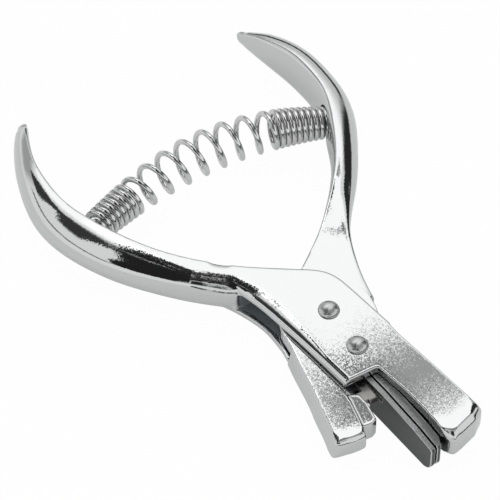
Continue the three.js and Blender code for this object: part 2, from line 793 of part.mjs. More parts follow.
// A tube of five sides along the path, its rings kept square to it
function springWireGeometry() {
  const path = springPath();
  const last = path.length - 1;
  const positions = [];
  const index = [];
  const across = new THREE.Vector3(0, 0, 1);
  path.forEach((point, k) => {
    const before = path[Math.max(k - 1, 0)];
    const after = path[Math.min(k + 1, last)];
    const tangent = after.clone().sub(before).normalize();
    across.addScaledVector(tangent, -across.dot(tangent)).normalize();
    const other = new THREE.Vector3().crossVectors(tangent, across);
    for (let j = 0; j < wireSides; j += 1) {
      const angle = (j / wireSides) * 2 * Math.PI;
      const place = point.clone()
        .addScaledVector(across, springWire / 2 * Math.cos(angle))
        .addScaledVector(other, springWire / 2 * Math.sin(angle));
      positions.push(place.x, place.y, place.z);
    }
  });
  const ring = (k, j) => k * wireSides + (j % wireSides);
  for (let k = 0; k < last; k += 1) {
    for (let j = 0; j < wireSides; j += 1) {
      index.push(ring(k, j), ring(k, j + 1), ring(k + 1, j));
      index.push(ring(k, j + 1), ring(k + 1, j + 1), ring(k + 1, j));
    }
  }
  for (let j = 1; j < wireSides - 1; j += 1) {
    index.push(ring(0, 0), ring(0, j + 1), ring(0, j));
    index.push(ring(last, 0), ring(last, j), ring(last, j + 1));
  }
  const geometry = new THREE.BufferGeometry();
  geometry.setAttribute('position', new THREE.Float32BufferAttribute(positions, 3));
  geometry.setIndex(index);
  geometry.computeVertexNormals();
  return geometry;
}

// The least distance between points of the wire's skin that are more than half a curl apart
function leastGap(geometry) {
  const apart = curlSteps / 2 + 1;
  const place = geometry.attributes.position;
  const rings = place.count / wireSides;
  const a = new THREE.Vector3();
  const b = new THREE.Vector3();
  let least = Infinity;
  for (let i = 0; i < rings; i += 1) {
    for (let j = i + apart; j < rings; j += 1) {
      for (let p = 0; p < wireSides; p += 1) {
        for (let q = 0; q < wireSides; q += 1) {
          a.fromBufferAttribute(place, i * wireSides + p);
          b.fromBufferAttribute(place, j * wireSides + q);
          least = Math.min(least, a.distanceToSquared(b));
        }
      }
    }
  }
  return Math.sqrt(least);
}

// The tool stands over the middle of its own footprint

const tool = new THREE.Group();
tool.add(piece('die_handle', toGeometry(dieHandle()), chrome()));
tool.add(piece('punch_handle', toGeometry(punchHandle()), chrome()));
tool.add(piece('punch_blade', toGeometry(punchBlade()), toolSteel()));

const pivotRivet = piece('pivot_rivet', rivet(), nickel());
tool.add(pivotRivet);
const dieRivet = piece('die_rivet', rivet(), nickel());
dieRivet.position.set(0, -dieRivetShare * jawReach, 0);
tool.add(dieRivet);

const plates = new THREE.Group();
plates.rotation.z = plateLean;
plates.add(piece('stripper_plate', toGeometry(stripperPlate()), blackened()));
plates.add(piece('die_plate', toGeometry(diePlate()), blackened()));
plates.add(piece('paper_stop', toGeometry(paperStop()), blackened()));
for (const [name, sign] of [['plate_rivet_1', 1], ['plate_rivet_2', -1]]) {
  plates.add(piece(name, toGeometry(crossPin(pinRadius, stripperFace, dieFace, sign)), nickel()));
}
tool.add(plates);

const spring = springWireGeometry();
console.log(`return_spring: least gap to itself ${leastGap(spring).toFixed(2)} mm`);
tool.add(piece('return_spring', spring, springSteel()));

const box = new THREE.Box3().setFromObject(tool, true);
const middle = box.getCenter(new THREE.Vector3());
tool.position.set(-middle.x, -middle.y, -box.min.z);

const part = new THREE.Group();
part.add(tool);

export default part;
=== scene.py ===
# The looks of a chromed hand notcher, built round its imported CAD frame.
# Lengths below are millimetres from the pivot, as the object's axes lie: +X right, the jaws
# along -Y, the grips along +Y, +Z up. The left grip carries the head and the die.

import json
import math

import bmesh
import bpy
import numpy as np
from mathutils import Matrix, Vector


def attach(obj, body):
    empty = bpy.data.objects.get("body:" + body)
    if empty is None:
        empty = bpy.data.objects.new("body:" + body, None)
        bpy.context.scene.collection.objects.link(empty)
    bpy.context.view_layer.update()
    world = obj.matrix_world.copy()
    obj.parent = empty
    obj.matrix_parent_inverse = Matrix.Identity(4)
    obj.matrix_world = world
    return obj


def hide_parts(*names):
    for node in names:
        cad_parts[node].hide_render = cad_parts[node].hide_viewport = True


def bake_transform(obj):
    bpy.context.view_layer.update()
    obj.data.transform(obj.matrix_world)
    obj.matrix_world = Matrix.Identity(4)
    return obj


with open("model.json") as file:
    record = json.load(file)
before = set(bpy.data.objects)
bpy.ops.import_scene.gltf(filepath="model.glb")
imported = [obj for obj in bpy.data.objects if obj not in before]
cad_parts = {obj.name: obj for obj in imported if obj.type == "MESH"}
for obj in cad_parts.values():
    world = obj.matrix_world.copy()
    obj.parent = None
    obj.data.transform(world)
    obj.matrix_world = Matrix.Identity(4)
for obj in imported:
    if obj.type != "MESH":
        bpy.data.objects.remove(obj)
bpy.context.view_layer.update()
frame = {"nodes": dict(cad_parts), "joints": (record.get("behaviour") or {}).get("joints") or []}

MM = 0.001
PIVOT = Vector(frame["joints"][0]["pos_m"])
UP = Vector((0, 0, 1))
LEFT, RIGHT = -1, 1
scene = bpy.context.scene


# Camera, at the photograph's view: angles in degrees, from the front and above

CAMERA_AIM = Vector((-4.35, 30.05, 0))
CAMERA_AZIMUTH, CAMERA_ELEVATION, CAMERA_ROLL = -30.48, 49.16, -0.82
CAMERA_DISTANCE = 600
CLIP_START, CLIP_END = 50, 20000
FOCAL_PIXELS, FRAME_PIXELS, SENSOR = 2385.46, 500, 36


def make_camera():
    angles = (CAMERA_AZIMUTH, CAMERA_ELEVATION, CAMERA_ROLL)
    azimuth, elevation, roll = (math.radians(angle) for angle in angles)
    level = math.cos(elevation)
    back = Vector((math.sin(azimuth) * level, -math.cos(azimuth) * level, math.sin(elevation)))
    across = (-back).cross(UP).normalized()
    rise = across.cross(-back)
    right = across * math.cos(roll) + rise * math.sin(roll)
    up = rise * math.cos(roll) - across * math.sin(roll)
    data = bpy.data.cameras.new("view")
    data.sensor_width = SENSOR
    data.lens = SENSOR * FOCAL_PIXELS / FRAME_PIXELS
    data.clip_start = CLIP_START * MM
    data.clip_end = CLIP_END * MM
    camera = bpy.data.objects.new("view", data)
    scene.collection.objects.link(camera)
    camera.matrix_world = Matrix((right, up, back)).transposed().to_4x4()
    camera.location = PIVOT + (CAMERA_AIM + back * CAMERA_DISTANCE) * MM
    scene.camera = camera


make_camera()


# Sizes and tables of shape, which follow the CAD's

HANDLE_REACH, HANDLE_SPREAD, CROTCH = 96, 39.4, 15.46
TIP_ROUND = 2.3
GRIP_HEIGHT, GRIP_DEPTH = 13.2, {LEFT: 8.8, RIGHT: 6.4}
JAW_REACH, HALF_HEAD = 46, 4.6
# The grips' inner curve from tip to crotch, of the spread and of the reach past the crotch
INNER_CURVE = [
    (0.838, 1), (0.914, 0.911), (0.98, 0.806), (1, 0.696), (0.981, 0.589),
    (0.883, 0.458), (0.673, 0.286), (0.38, 0.138), (0.018, 0)]
# Steps between two of its points, and how far to either side a tangent looks, of its length
CURVE_STEPS, TANGENT_REACH = 120, 0.004
# Place along that curve, then the height and depth, of the grip's own, and how square the section is
GRIP = {
    LEFT: [
        (0, 0.3, 0.3, 1), (0.015, 0.43, 0.37, 1), (0.08, 0.71, 0.475, 1), (0.18, 0.95, 0.59, 1),
        (0.3, 1, 0.818, 1), (0.42, 0.985, 0.95, 1), (0.54, 0.915, 0.96, 1.1), (0.66, 0.82, 0.88, 1.35),
        (0.78, 0.73, 0.87, 1.9), (1, 0.7, 0.87, 2)],
    RIGHT: [
        (0, 0.3, 0.35, 1), (0.015, 0.42, 0.45, 1), (0.08, 0.71, 0.78, 1), (0.18, 0.95, 0.92, 1),
        (0.3, 1, 0.953, 1), (0.42, 0.985, 1, 1), (0.54, 0.915, 0.9, 1.05), (0.66, 0.77, 0.86, 1.2),
        (0.74, 0.53, 0.92, 1.8), (0.82, 0.335, 1.2, 4), (0.9, 0.276, 1.93, 7), (1, 0.273, 3.15, 7)]}
# Place along the curve, then how far the inner face swells out of it, of the depth
SWELL = {
    LEFT: [(0, 0.1), (0.2, 0.12), (0.45, 0.1), (0.7, 0.05), (0.84, 0), (1, 0)],
    RIGHT: [
        (0, 0.18), (0.15, 0.33), (0.38, 0.3), (0.48, 0.35), (0.58, 0.26), (0.68, 0.2), (0.8, 0.05), (1, 0)]}
# The spring's seats: place along the curve, how deep, and how far below the middle plane
SEAT, SEAT_SINK, SEAT_DROP = {LEFT: 0.427, RIGHT: 0.417}, {LEFT: 0, RIGHT: 2.8}, 0.4


def eased(share):
    """A share from 0 to 1 that starts and ends gently."""
    return share * share * (3 - 2 * share)


def hermite(t, start, leave, end, arrive):
    """A cubic from start to end, with the ways in which it leaves and arrives."""
    return ((2 * t**3 - 3 * t**2 + 1) * start + (t**3 - 2 * t**2 + t) * leave
            + (3 * t**2 - 2 * t**3) * end + (t**3 - t**2) * arrive)


def along(rows, place, column):
    """A value between the rows of a table, on a smooth line through them."""
    last = len(rows) - 1
    index = 0
    while index < last - 1 and place > rows[index + 1][0]:
        index += 1

    def slope(k):
        low, high = max(k - 1, 0), min(k + 1, last)
        return (rows[high][column] - rows[low][column]) / (rows[high][0] - rows[low][0])

    span = rows[index + 1][0] - rows[index][0]
    t = min(max((place - rows[index][0]) / span, 0), 1)
    start, end = rows[index][column], rows[index + 1][column]
    return hermite(t, start, span * slope(index), end, span * slope(index + 1))


def measure(side, place):
    """Half height, depth, inner swell and squareness of a grip at a place along its inner curve."""
    half = along(GRIP[side], place, 1) * GRIP_HEIGHT / 2
    depth = along(GRIP[side], place, 2) * GRIP_DEPTH[side]
    swell = along(SWELL[side], place, 1) * min(depth, GRIP_DEPTH[side])
    return half, depth, swell, along(GRIP[side], place, 3)


def round_angle(k, count):
    """The angle of step k out of a count of them round a circle."""
    return k / count * 2 * math.pi


class InnerCurve:
    """The line that a grip's inner face follows, measured by its length."""

    def __init__(self, side):
        reach = HANDLE_REACH - CROTCH
        points = [np.array((side * x * HANDLE_SPREAD, CROTCH + y * reach)) for x, y in INNER_CURVE]
        padded = [2 * points[0] - points[1], *points, 2 * points[-1] - points[-2]]
        shares = np.linspace(0, 1, CURVE_STEPS + 1)[:-1, None]
        line = []
        for k in range(len(points) - 1):
            before, start, end, after = padded[k:k + 4]
            ways = (start - before, end - start, after - end)
            p, q, r = (np.linalg.norm(way) ** 0.5 for way in ways)
            leave = (ways[0] / p - (end - before) / (p + q) + ways[1] / q) * q
            arrive = (ways[1] / q - (after - start) / (q + r) + ways[2] / r) * q
            line.append(hermite(shares, start, leave, end, arrive))
        line.append(points[-1][None, :])
        self.line = np.concatenate(line)
        steps = np.linalg.norm(np.diff(self.line, axis=0), axis=1)
        self.share = np.concatenate([[0], np.cumsum(steps)]) / steps.sum()
        self.side = side

    def point(self, place):
        x, y = (np.interp(place, self.share, self.line[:, k]) for k in range(2))
        return Vector((x, y, 0))

    def tangent(self, place):
        low, high = max(place - TANGENT_REACH, 0), min(place + TANGENT_REACH, 1)
        return (self.point(high) - self.point(low)).normalized()

    def outward(self, place):
        way = self.tangent(place)
        return Vector((-self.side * way.y, self.side * way.x, 0))


# Mesh helpers

def new_object(name, vertices, faces, smooth=True):
    """A mesh object from millimetres round the pivot."""
    data = bpy.data.meshes.new(name)
    data.from_pydata([tuple(PIVOT + Vector(v) * MM) for v in vertices], [], faces)
    data.update()
    if smooth:
        data.shade_smooth()
    made = bpy.data.objects.new(name, data)
    scene.collection.objects.link(made)
    return made


def ring_faces(rings, sides, closed_ends=True):
    """The faces of a tube whose rings of points follow each other."""
    faces = []
    for k in range(rings - 1):
        for j in range(sides):
            a, b = k * sides + j, k * sides + (j + 1) % sides
            faces.append((a, b, b + sides, a + sides))
    if closed_ends:
        faces.append(tuple(reversed(range(sides))))
        faces.append(tuple(range((rings - 1) * sides, rings * sides)))
    return faces


def outward_faces(mesh):
    """Turns a closed mesh's faces to point out."""
    edit = bmesh.new()
    edit.from_mesh(mesh)
    bmesh.ops.recalc_face_normals(edit, faces=edit.faces)
    edit.to_mesh(mesh)
    edit.free()


def apply_modifiers(piece):
    """Puts the shape that a piece's modifiers give into its mesh."""
    graph = bpy.context.evaluated_depsgraph_get()
    mesh = bpy.data.meshes.new_from_object(piece.evaluated_get(graph))
    piece.modifiers.clear()
    piece.data = mesh


# Grips

GRIP_RINGS, GRIP_SIDES = 220, 120
# The tip's round: its rings, and how far round the first one lies
TIP_RINGS, TIP_POINT_SHARE = 14, 0.985
# How closely the grip's rings stand at its tip, of an even spacing
TIP_SPACING = 0.4


def grip_ring(side, curve, place):
    """The points round a grip at a place along its inner curve."""
    half, depth, swell, square = measure(side, place)
    middle, away = curve.point(place), curve.outward(place)
    ring = []
    for k in range(GRIP_SIDES):
        angle = round_angle(side * k, GRIP_SIDES)
        cosine, sine = math.cos(angle), math.sin(angle)
        across = abs(cosine) ** (1 / square) * (depth if cosine > 0 else -swell)
        level = abs(sine) ** (1 / square) * math.copysign(half, sine)
        ring.append(middle + away * across + UP * level)
    return ring


def grip_loft(side, last_place):
    """The grip's fine skin from its rounded tip to where the head or the web takes over."""
    curve = InnerCurve(side)
    first = grip_ring(side, curve, 0)
    centre = sum(first, Vector()) / len(first)
    beyond = -curve.tangent(0)
    vertices = []
    for k in range(TIP_RINGS):
        turn = (TIP_POINT_SHARE - k / TIP_RINGS) * math.pi / 2
        lift = beyond * TIP_ROUND * math.sin(turn)
        vertices += [(point - centre) * math.cos(turn) + centre + lift for point in first]
    for k in range(GRIP_RINGS + 1):
        share = k / GRIP_RINGS
        place = last_place * share * (TIP_SPACING + (1 - TIP_SPACING) * share)
        vertices += grip_ring(side, curve, place)
    return vertices, ring_faces(TIP_RINGS + GRIP_RINGS + 1, GRIP_SIDES)


# Seats of the spring

BAR_SIDES = 64
POCKET_RADIUS, POCKET_OVERRUN = 5, 4
# The peg, sunk in its grip and rounded at its end: distance from the seat, and radius
PEG_PROFILE = [(-3, 2.2), (3.7, 2.2), (4.25, 1.914), (4.5, 1.21)]


def seat(side):
    """Where an end of the spring bears, and the way inward from there."""
    curve = InnerCurve(side)
    inward = -curve.outward(SEAT[side])
    point = curve.point(SEAT[side]) + inward * (measure(side, SEAT[side])[2] - SEAT_SINK[side])
    return point - UP * SEAT_DROP, inward


def seat_bar(side, profile):
    """A round bar along a seat's way inward, from pairs of distance and radius."""
    point, inward = seat(side)
    across = inward.cross(UP)
    vertices = []
    for reach, radius in profile:
        for k in range(BAR_SIDES):
            angle = round_angle(k, BAR_SIDES)
            way = across * math.cos(angle) + UP * math.sin(angle)
            vertices.append(point + inward * reach + way * radius)
    return vertices, ring_faces(len(profile), BAR_SIDES)


def spring_pocket():
    """The round hollow that the spring's right end sits in."""
    mouth = SEAT_SINK[RIGHT] + POCKET_OVERRUN
    return seat_bar(RIGHT, [(0, POCKET_RADIUS), (mouth, POCKET_RADIUS)])


# Handles

# Places along the inner curve where the head is cut from the CAD and where the grip's skin ends
HEAD_CUT, GRIP_END = {LEFT: 0.74, RIGHT: 0.93}, {LEFT: 0.85, RIGHT: 1}
# Points of the CAD's mesh that are nearer than this are one
SAME_POINT = 0.0001
# How far the fork's slot is opened to the left, down to a thin lower plate: ranges along X, Y and Z
SLOT_MOUTH = ((-30, -8.5), (-6, 17.5), (-2.9, 2.1))
# The melted skin's fineness, and how strongly and often it is smoothed
VOXEL = 0.2
RELAX_SHARE, RELAX_PASSES = 0.5, 14
# The left edge of the head's top, from the neck to the window
HEAD_LEFT = [
    (-18.96, 23.46), (-16.13, 19.55), (-13.99, 13.8), (-12.41, 6.9), (-10.94, -2.76), (-9.7, -11.96),
    (-8.52, -20.65)]
NOSE_FRONT = [(15.7, -43.3), (12.5, -45.4), (4.9, -47.7), (3.1, -45.3)]
JAW_FRONT = [(-18.7, -33.2), (-18.1, -33.9), (-11.2, -34.8)]
# Edges that roll over: line, how far in at three places along Y, how far down, the levels between
# which the skin is drawn together, and where along Y the roll starts to fade and has gone
ROLL_PLACES = (-12, 5, 16)
ROLLS = {
    LEFT: [
        (HEAD_LEFT, (1.7, 4.4, 4.8), 1.6, 2.1, 4.6, 12, 24),
        (NOSE_FRONT, (6, 6, 6), 0.5, 0, 4.6, 0, 1)],
    RIGHT: [(JAW_FRONT, (5, 5, 5), 0.3, -1, 1.8, 0, 1)]}
# How near to upright a roll ends, and how far over its top level a point may lie
ROLL_END, TOP_SLACK = 0.995, 0.5
# Places that are worn round: x, y, how far, the lowest level, how many passes
CORNERS = {
    LEFT: [
        (15.7, -43.3, 4, -20, 90), (4.4, -47.4, 3, -20, 50), (-18.6, 22.8, 6.2, 1.8, 260),
        (-14.8, 17.5, 4, 3.2, 60)],
    RIGHT: [(-18.5, -33.6, 3.5, -20, 70), (-11, -34.8, 2.5, -20, 40)]}
# Of a worn place's reach, how far its neighbours are taken along; how fast the wear sets in from
# its border; and how far one pass moves a point towards its neighbours' middle
WEAR_MARGIN, WEAR_ONSET, WEAR_STEP = 1.3, 2, 0.5


def head_part(node, point, normal):
    """The CAD node's own faces on the head side of a plane, closed there."""
    edit = bmesh.new()
    edit.from_mesh(frame["nodes"][node].data)
    bmesh.ops.remove_doubles(edit, verts=edit.verts, dist=SAME_POINT * MM)
    geometry = edit.verts[:] + edit.edges[:] + edit.faces[:]
    cut = bmesh.ops.bisect_plane(
        edit, geom=geometry, plane_co=PIVOT + point * MM, plane_no=normal, clear_inner=True)
    rim = [e for e in cut["geom_cut"] if isinstance(e, bmesh.types.BMEdge)]
    bmesh.ops.holes_fill(edit, edges=rim)
    mesh = bpy.data.meshes.new(node + "_head")
    edit.to_mesh(mesh)
    edit.free()
    return mesh


def slot_mouth():
    """The box that opens the fork's slot."""
    (left, right), (front, rear), levels = SLOT_MOUTH
    corners = [(left, rear), (left, front), (right, front), (right, rear)]
    vertices = [Vector((x, y, z)) for z in levels for x, y in corners]
    return vertices, ring_faces(len(levels), len(corners))


def nearness(points, line, reach):
    """How close points in the plane are to a line: 0 past its reach, 1 on it."""
    distance = np.full(len(points), np.inf)
    for start, end in zip(np.array(line[:-1]), np.array(line[1:])):
        way = end - start
        share = np.clip((points - start) @ way / (way @ way), 0, 1)
        nearest = start + share[:, None] * way
        distance = np.minimum(distance, np.linalg.norm(points - nearest, axis=1))
    return np.clip(1 - distance / reach, 0, 1)


def roll_edges(points, rolls):
    """Lowers a flat top towards its edges, on a quarter of an ellipse."""
    for line, reaches, drop, base, top, fade, gone in rolls:
        near = nearness(points[:, :2], line, np.interp(points[:, 1], ROLL_PLACES, reaches))
        kept = eased(np.clip((gone - points[:, 1]) / (gone - fade), 0, 1))
        sunk = drop * kept * (1 - np.sqrt(1 - near**2 * ROLL_END))
        share = 1 - sunk / (top - base)
        level = points[:, 2]
        touched = (near > 0) & (level > base) & (level < top + TOP_SLACK)
        points[touched, 2] = base + (level[touched] - base) * share[touched]


def wear_corners(points, edges, corners):
    """Rounds the skin near upright lines by moving its points towards their neighbours."""
    for x, y, reach, lowest, passes in corners:
        distance = np.linalg.norm(points[:, :2] - (x, y), axis=1)
        kept = np.nonzero(distance < reach * WEAR_MARGIN)[0]
        place = np.full(len(points), -1)
        place[kept] = np.arange(len(kept))
        pairs = place[edges]
        pairs = pairs[(pairs >= 0).all(axis=1)]
        count = np.bincount(pairs.ravel(), minlength=len(kept))[:, None]
        strength = np.clip((1 - distance[kept] / reach) * WEAR_ONSET, 0, 1)
        strength *= np.clip(points[kept, 2] - lowest, 0, 1)
        step = strength[:, None] * WEAR_STEP
        local = points[kept]
        for _ in range(passes):
            total = np.stack([
                np.bincount(pairs[:, 0], local[pairs[:, 1], k], len(kept))
                + np.bincount(pairs[:, 1], local[pairs[:, 0], k], len(kept)) for k in range(3)], axis=1)
            local += (total / np.maximum(count, 1) - local) * step
        points[kept] = local


def wear(piece, side):
    """Rolls and wears a handle's edges."""
    mesh = piece.data
    points = np.empty(len(mesh.vertices) * 3)
    mesh.vertices.foreach_get("co", points)
    points = (points.reshape(-1, 3) - np.array(PIVOT)) / MM
    edges = np.empty(len(mesh.edges) * 2, dtype=np.int32)
    mesh.edges.foreach_get("vertices", edges)
    roll_edges(points, ROLLS[side])
    wear_corners(points, edges.reshape(-1, 2), CORNERS[side])
    mesh.vertices.foreach_set("co", (points * MM + np.array(PIVOT)).ravel())
    mesh.update()


def combine(piece, body, operation):
    """Joins a closed body, given as vertices and faces, to a piece or cuts it from it."""
    other = new_object("cutter", *body)
    outward_faces(other.data)
    boolean = piece.modifiers.new("join", "BOOLEAN")
    boolean.object = other
    boolean.operation = operation
    boolean.solver = "MANIFOLD"
    apply_modifiers(piece)
    bpy.data.objects.remove(other)


def handle(name, node, side, opening):
    """A chromed handle: head from the CAD, grip from its fine skin, melted into one smooth surface."""
    curve = InnerCurve(side)
    head = head_part(node, curve.point(HEAD_CUT[side]), curve.tangent(HEAD_CUT[side]))
    outward_faces(head)
    piece = bpy.data.objects.new(name, head)
    scene.collection.objects.link(piece)
    combine(piece, grip_loft(side, GRIP_END[side]), "UNION")
    combine(piece, opening, "DIFFERENCE")
    combine(piece, seat_bar(side, PEG_PROFILE), "UNION")
    remesh = piece.modifiers.new("melt", "REMESH")
    remesh.mode = "VOXEL"
    remesh.voxel_size = VOXEL * MM
    remesh.use_smooth_shade = True
    apply_modifiers(piece)
    wear(piece, side)
    relax = piece.modifiers.new("relax", "SMOOTH")
    relax.factor = RELAX_SHARE
    relax.iterations = RELAX_PASSES
    apply_modifiers(piece)
    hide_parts(node)
    return piece


die_skin = handle("die_handle_skin", "die_handle", LEFT, slot_mouth())
punch_skin = handle("punch_handle_skin", "punch_handle", RIGHT, spring_pocket())
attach(die_skin, "die_side")
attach(punch_skin, "punch_side")


# Rivets

RIVET_RADIUS, RIVET_HEAD, RIVET_RISE = 1.5, 2.7, 1.7
# How far a rivet's head is broken at its rim, and how far it is pressed into the plate
RIVET_LIP, RIVET_PRESS = 0.12, 0.02
DIE_RIVET_SHARE = -0.28
DOME_STEPS, RIVET_SIDES = 24, 96


def rivet(name, node, y):
    """Two domed heads on one shank, turned as one piece."""
    profile = []
    for k in range(DOME_STEPS + 1):
        turn = k / DOME_STEPS * math.pi / 2
        profile.append((RIVET_HEAD * math.sin(turn), HALF_HEAD + RIVET_RISE * math.cos(turn)))
    under = HALF_HEAD - RIVET_PRESS
    profile += [(RIVET_HEAD - RIVET_LIP, under), (RIVET_RADIUS, under)]
    profile += [(radius, -level) for radius, level in reversed(profile)]
    top, *rings, bottom = profile
    vertices = [Vector((0, y, top[1]))]
    for radius, level in rings:
        for k in range(RIVET_SIDES):
            angle = round_angle(k, RIVET_SIDES)
            vertices.append(Vector((radius * math.cos(angle), y + radius * math.sin(angle), level)))
    vertices.append(Vector((0, y, bottom[1])))
    last = len(vertices) - 1
    lowest_ring = last - RIVET_SIDES
    pairs = [(k, (k + 1) % RIVET_SIDES) for k in range(RIVET_SIDES)]
    faces = [(0, 1 + a, 1 + b) for a, b in pairs]
    faces += [tuple(v + 1 for v in face) for face in ring_faces(len(rings), RIVET_SIDES, closed_ends=False)]
    faces += [(last, lowest_ring + b, lowest_ring + a) for a, b in pairs]
    piece = new_object(name, vertices, faces)
    outward_faces(piece.data)
    piece.data.shade_smooth()
    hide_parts(node)
    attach(piece, "die_side")
    return piece


rivets = [
    rivet("pivot_rivet_turned", "pivot_rivet", 0),
    rivet("die_rivet_turned", "die_rivet", DIE_RIVET_SHARE * JAW_REACH)]


# Return spring

WIRE = 1.5
# Across the curls from middle to middle of the wire, by the place along the spring
CURL_DIAMETERS = [(0, 6.8), (0.25, 8.9), (0.5, 10.5), (0.75, 9.6), (1, 6.8)]
# Packed curls and their pitch at the left and right ends, the open curls between them, and how
# many curls the pitch takes to open, to either side of where it does
PACKED, PACKED_PITCH, OPEN, OPENING = (7.5, 9.15), (1.82, 1.62), 7.6, 0.5
# How far each end keeps its seat's direction, and how far it climbs there
ARMS, ARM_RISES = (21, 34.7), (-2.1, 4.3)
# From a seat to the wire's end, and the bend from there into the first curl
SEAT_GAP, END_BEND, END_BEND_STEPS = 0.1, 1.2, 8
# Steps of the middle line, and how far to either side its direction is taken
LINE_STEPS, WAY_REACH = 1600, 0.2
CURL_STEPS, WIRE_SIDES = 48, 16


def spring_line():
    """Points on the spring's middle line, and how far along it each lies."""
    (left_seat, left_way), (right_seat, right_way) = seat(LEFT), seat(RIGHT)
    corners = (
        left_seat, left_seat + left_way * ARMS[0] + UP * ARM_RISES[0],
        right_seat + right_way * ARMS[1] + UP * ARM_RISES[1], right_seat)
    a, b, c, d = (np.array(corner) for corner in corners)
    t = np.linspace(0, 1, LINE_STEPS + 1)[:, None]
    line = (1 - t)**3 * a + 3 * (1 - t)**2 * t * b + 3 * (1 - t) * t**2 * c + t**3 * d
    steps = np.linalg.norm(np.diff(line, axis=0), axis=1)
    return line, np.concatenate([[0], np.cumsum(steps)])


def openness(curls):
    """How open the pitch is after some curls: 0 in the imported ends, 1 between them."""
    past = curls - PACKED[0]
    inside = min(past, OPEN - past)
    return eased(min(max((inside + OPENING) / (2 * OPENING), 0), 1))


def spring_stations(length):
    """Places along the spring's middle line, each with the angle that the wire has turned by there."""
    radius = CURL_DIAMETERS[0][1] / 2
    first = SEAT_GAP + WIRE / 2
    start = [(SEAT_GAP, 0), (first, 0)]
    for k in range(1, END_BEND_STEPS + 1):
        turn = k / END_BEND_STEPS * math.pi / 2
        start.append((first + END_BEND * math.sin(turn), END_BEND * (1 - math.cos(turn)) / radius))
    place, bend_angle = start[-1]
    steps = round((PACKED[0] + OPEN + PACKED[1]) * CURL_STEPS)
    opening = [openness((k + 0.5) / CURL_STEPS) for k in range(steps)]
    halfway = (PACKED[0] + OPEN / 2) * CURL_STEPS
    packed = [PACKED_PITCH[int(k > halfway)] / CURL_STEPS for k in range(steps)]
    extra = (length - 2 * place - sum(packed)) / sum(opening)
    stations = list(start)
    for k in range(steps):
        place += packed[k] + extra * opening[k]
        stations.append((place, bend_angle + round_angle(k + 1, CURL_STEPS)))
    last_angle = stations[-1][1]
    for back, turned in reversed(start[:-1]):
        stations.append((length - back, last_angle + bend_angle - turned))
    return stations


def spring_path():
    """The middle line of the spring's wire."""
    line, rise = spring_line()
    length = rise[-1]

    def on_line(place):
        return Vector([np.interp(place, rise, line[:, k]) for k in range(3)])

    points = []
    for place, turned in spring_stations(length):
        place = min(max(place, 0), length)
        way = (on_line(min(place + WAY_REACH, length)) - on_line(max(place - WAY_REACH, 0))).normalized()
        angle = math.pi / 2 + turned
        side = UP.cross(way).normalized()
        up = way.cross(side)
        reach = along(CURL_DIAMETERS, place / length, 1) / 2
        points.append(on_line(place) + side * reach * math.cos(angle) + up * reach * math.sin(angle))
    return points


def spring():
    """One round wire along the spring's path."""
    path = spring_path()
    vertices = []
    across = UP
    for k, point in enumerate(path):
        way = (path[min(k + 1, len(path) - 1)] - path[max(k - 1, 0)]).normalized()
        across = (across - way * across.dot(way)).normalized()
        other = way.cross(across)
        for j in range(WIRE_SIDES):
            angle = round_angle(j, WIRE_SIDES)
            vertices.append(point + (across * math.cos(angle) + other * math.sin(angle)) * WIRE / 2)
    piece = new_object("return_spring_wire", vertices, ring_faces(len(path), WIRE_SIDES))
    outward_faces(piece.data)
    piece.data.shade_smooth()
    return piece


spring_wire = spring()
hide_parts("return_spring")
PIVOT + seat(LEFT)[0] * MM
PIVOT + seat(RIGHT)[0] * MM
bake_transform(spring_wire)


# Materials

CHROME_COLOR, CHROME_ROUGHNESS = (0.618, 0.626, 0.628), 0.06
# The chrome's facets: how many to a metre, and how far they lean
GRAIN_SCALE, GRAIN_TILT = 3600, 0.013
# Colour and roughness, then the unevenness: how fine, how strong, and its height in metres
FINISHES = {
    # Inside the fork's slot: a matt metal whose darker colour is painted shade
    "slot_matt_and_shade": ((0.44, 0.475, 0.49), 0.6, 3000, 0.2, 0.00003),
    "nickel": ((0.56, 0.57, 0.572), 0.3, 3000, 0.2, 0.00003),
    "blackened": ((0.115, 0.121, 0.12), 0.4, 4000, 0.2, 0.00003),
    # Bright metal for the plates' broken edges: a painted highlight
    "painted_edge_highlight": ((0.62, 0.63, 0.63), 0.4, 4000, 0.2, 0.00003),
    # A greyer finish for the plates' up-facing tops: painted light, with a mottled bump
    "plate_top_painted_lit": ((0.34, 0.35, 0.35), 0.35, 2500, 1, 0.0001),
    "tool_steel": ((0.28, 0.272, 0.262), 0.25, 3000, 0.2, 0.00003),
    "spring_steel": ((0.66, 0.665, 0.665), 0.07, 3500, 0.2, 0.00003)}
# The inside of the fork's slot, whose metal is matt and painted darker as shade: how far in from the head's
# left edge it starts, its right, front and rear ends, its top, its floor at the front and at the rear, and
# where along Y the floor steps
RECESS_INSET, RECESS_RIGHT, RECESS_FRONT, RECESS_REAR = 0.5, 12, -20, 18.6
RECESS_TOP, FRONT_FLOOR, REAR_FLOOR, FLOOR_STEP = 2.25, -2.6, -3.05, 1
# Broken edges: how near points are welded first, from how many degrees on, and how finely
WELD, SHARP_EDGE, BEVEL_SEGMENTS = 0.001, 35, 3
# The plates' edges, how much a face must face up to be painted lighter as a lit top, and the places of
# their materials, whose edges carry a painted highlight
PLATE_EDGE, TOP_FACING = 0.22, 0.8
SIDES, EDGES, TOP = range(3)
# The small CAD nodes that stay: finish, material slot, and how wide their edges are broken
SMALL_PARTS = {
    "paper_stop": ("blackened", "blackened_plate", 0.03),
    "punch_blade": ("tool_steel", "tool_steel", 0.12),
    "plate_rivet_1": ("nickel", "nickel_rivet", 0.04),
    "plate_rivet_2": ("nickel", "nickel_rivet", 0.04)}


def material(name, color, roughness, metallic=1):
    made = bpy.data.materials.new(name)
    made.use_nodes = True
    shader = made.node_tree.nodes["Principled BSDF"]
    shader.inputs["Base Color"].default_value = (*color, 1)
    shader.inputs["Metallic"].default_value = metallic
    shader.inputs["Roughness"].default_value = roughness
    return made


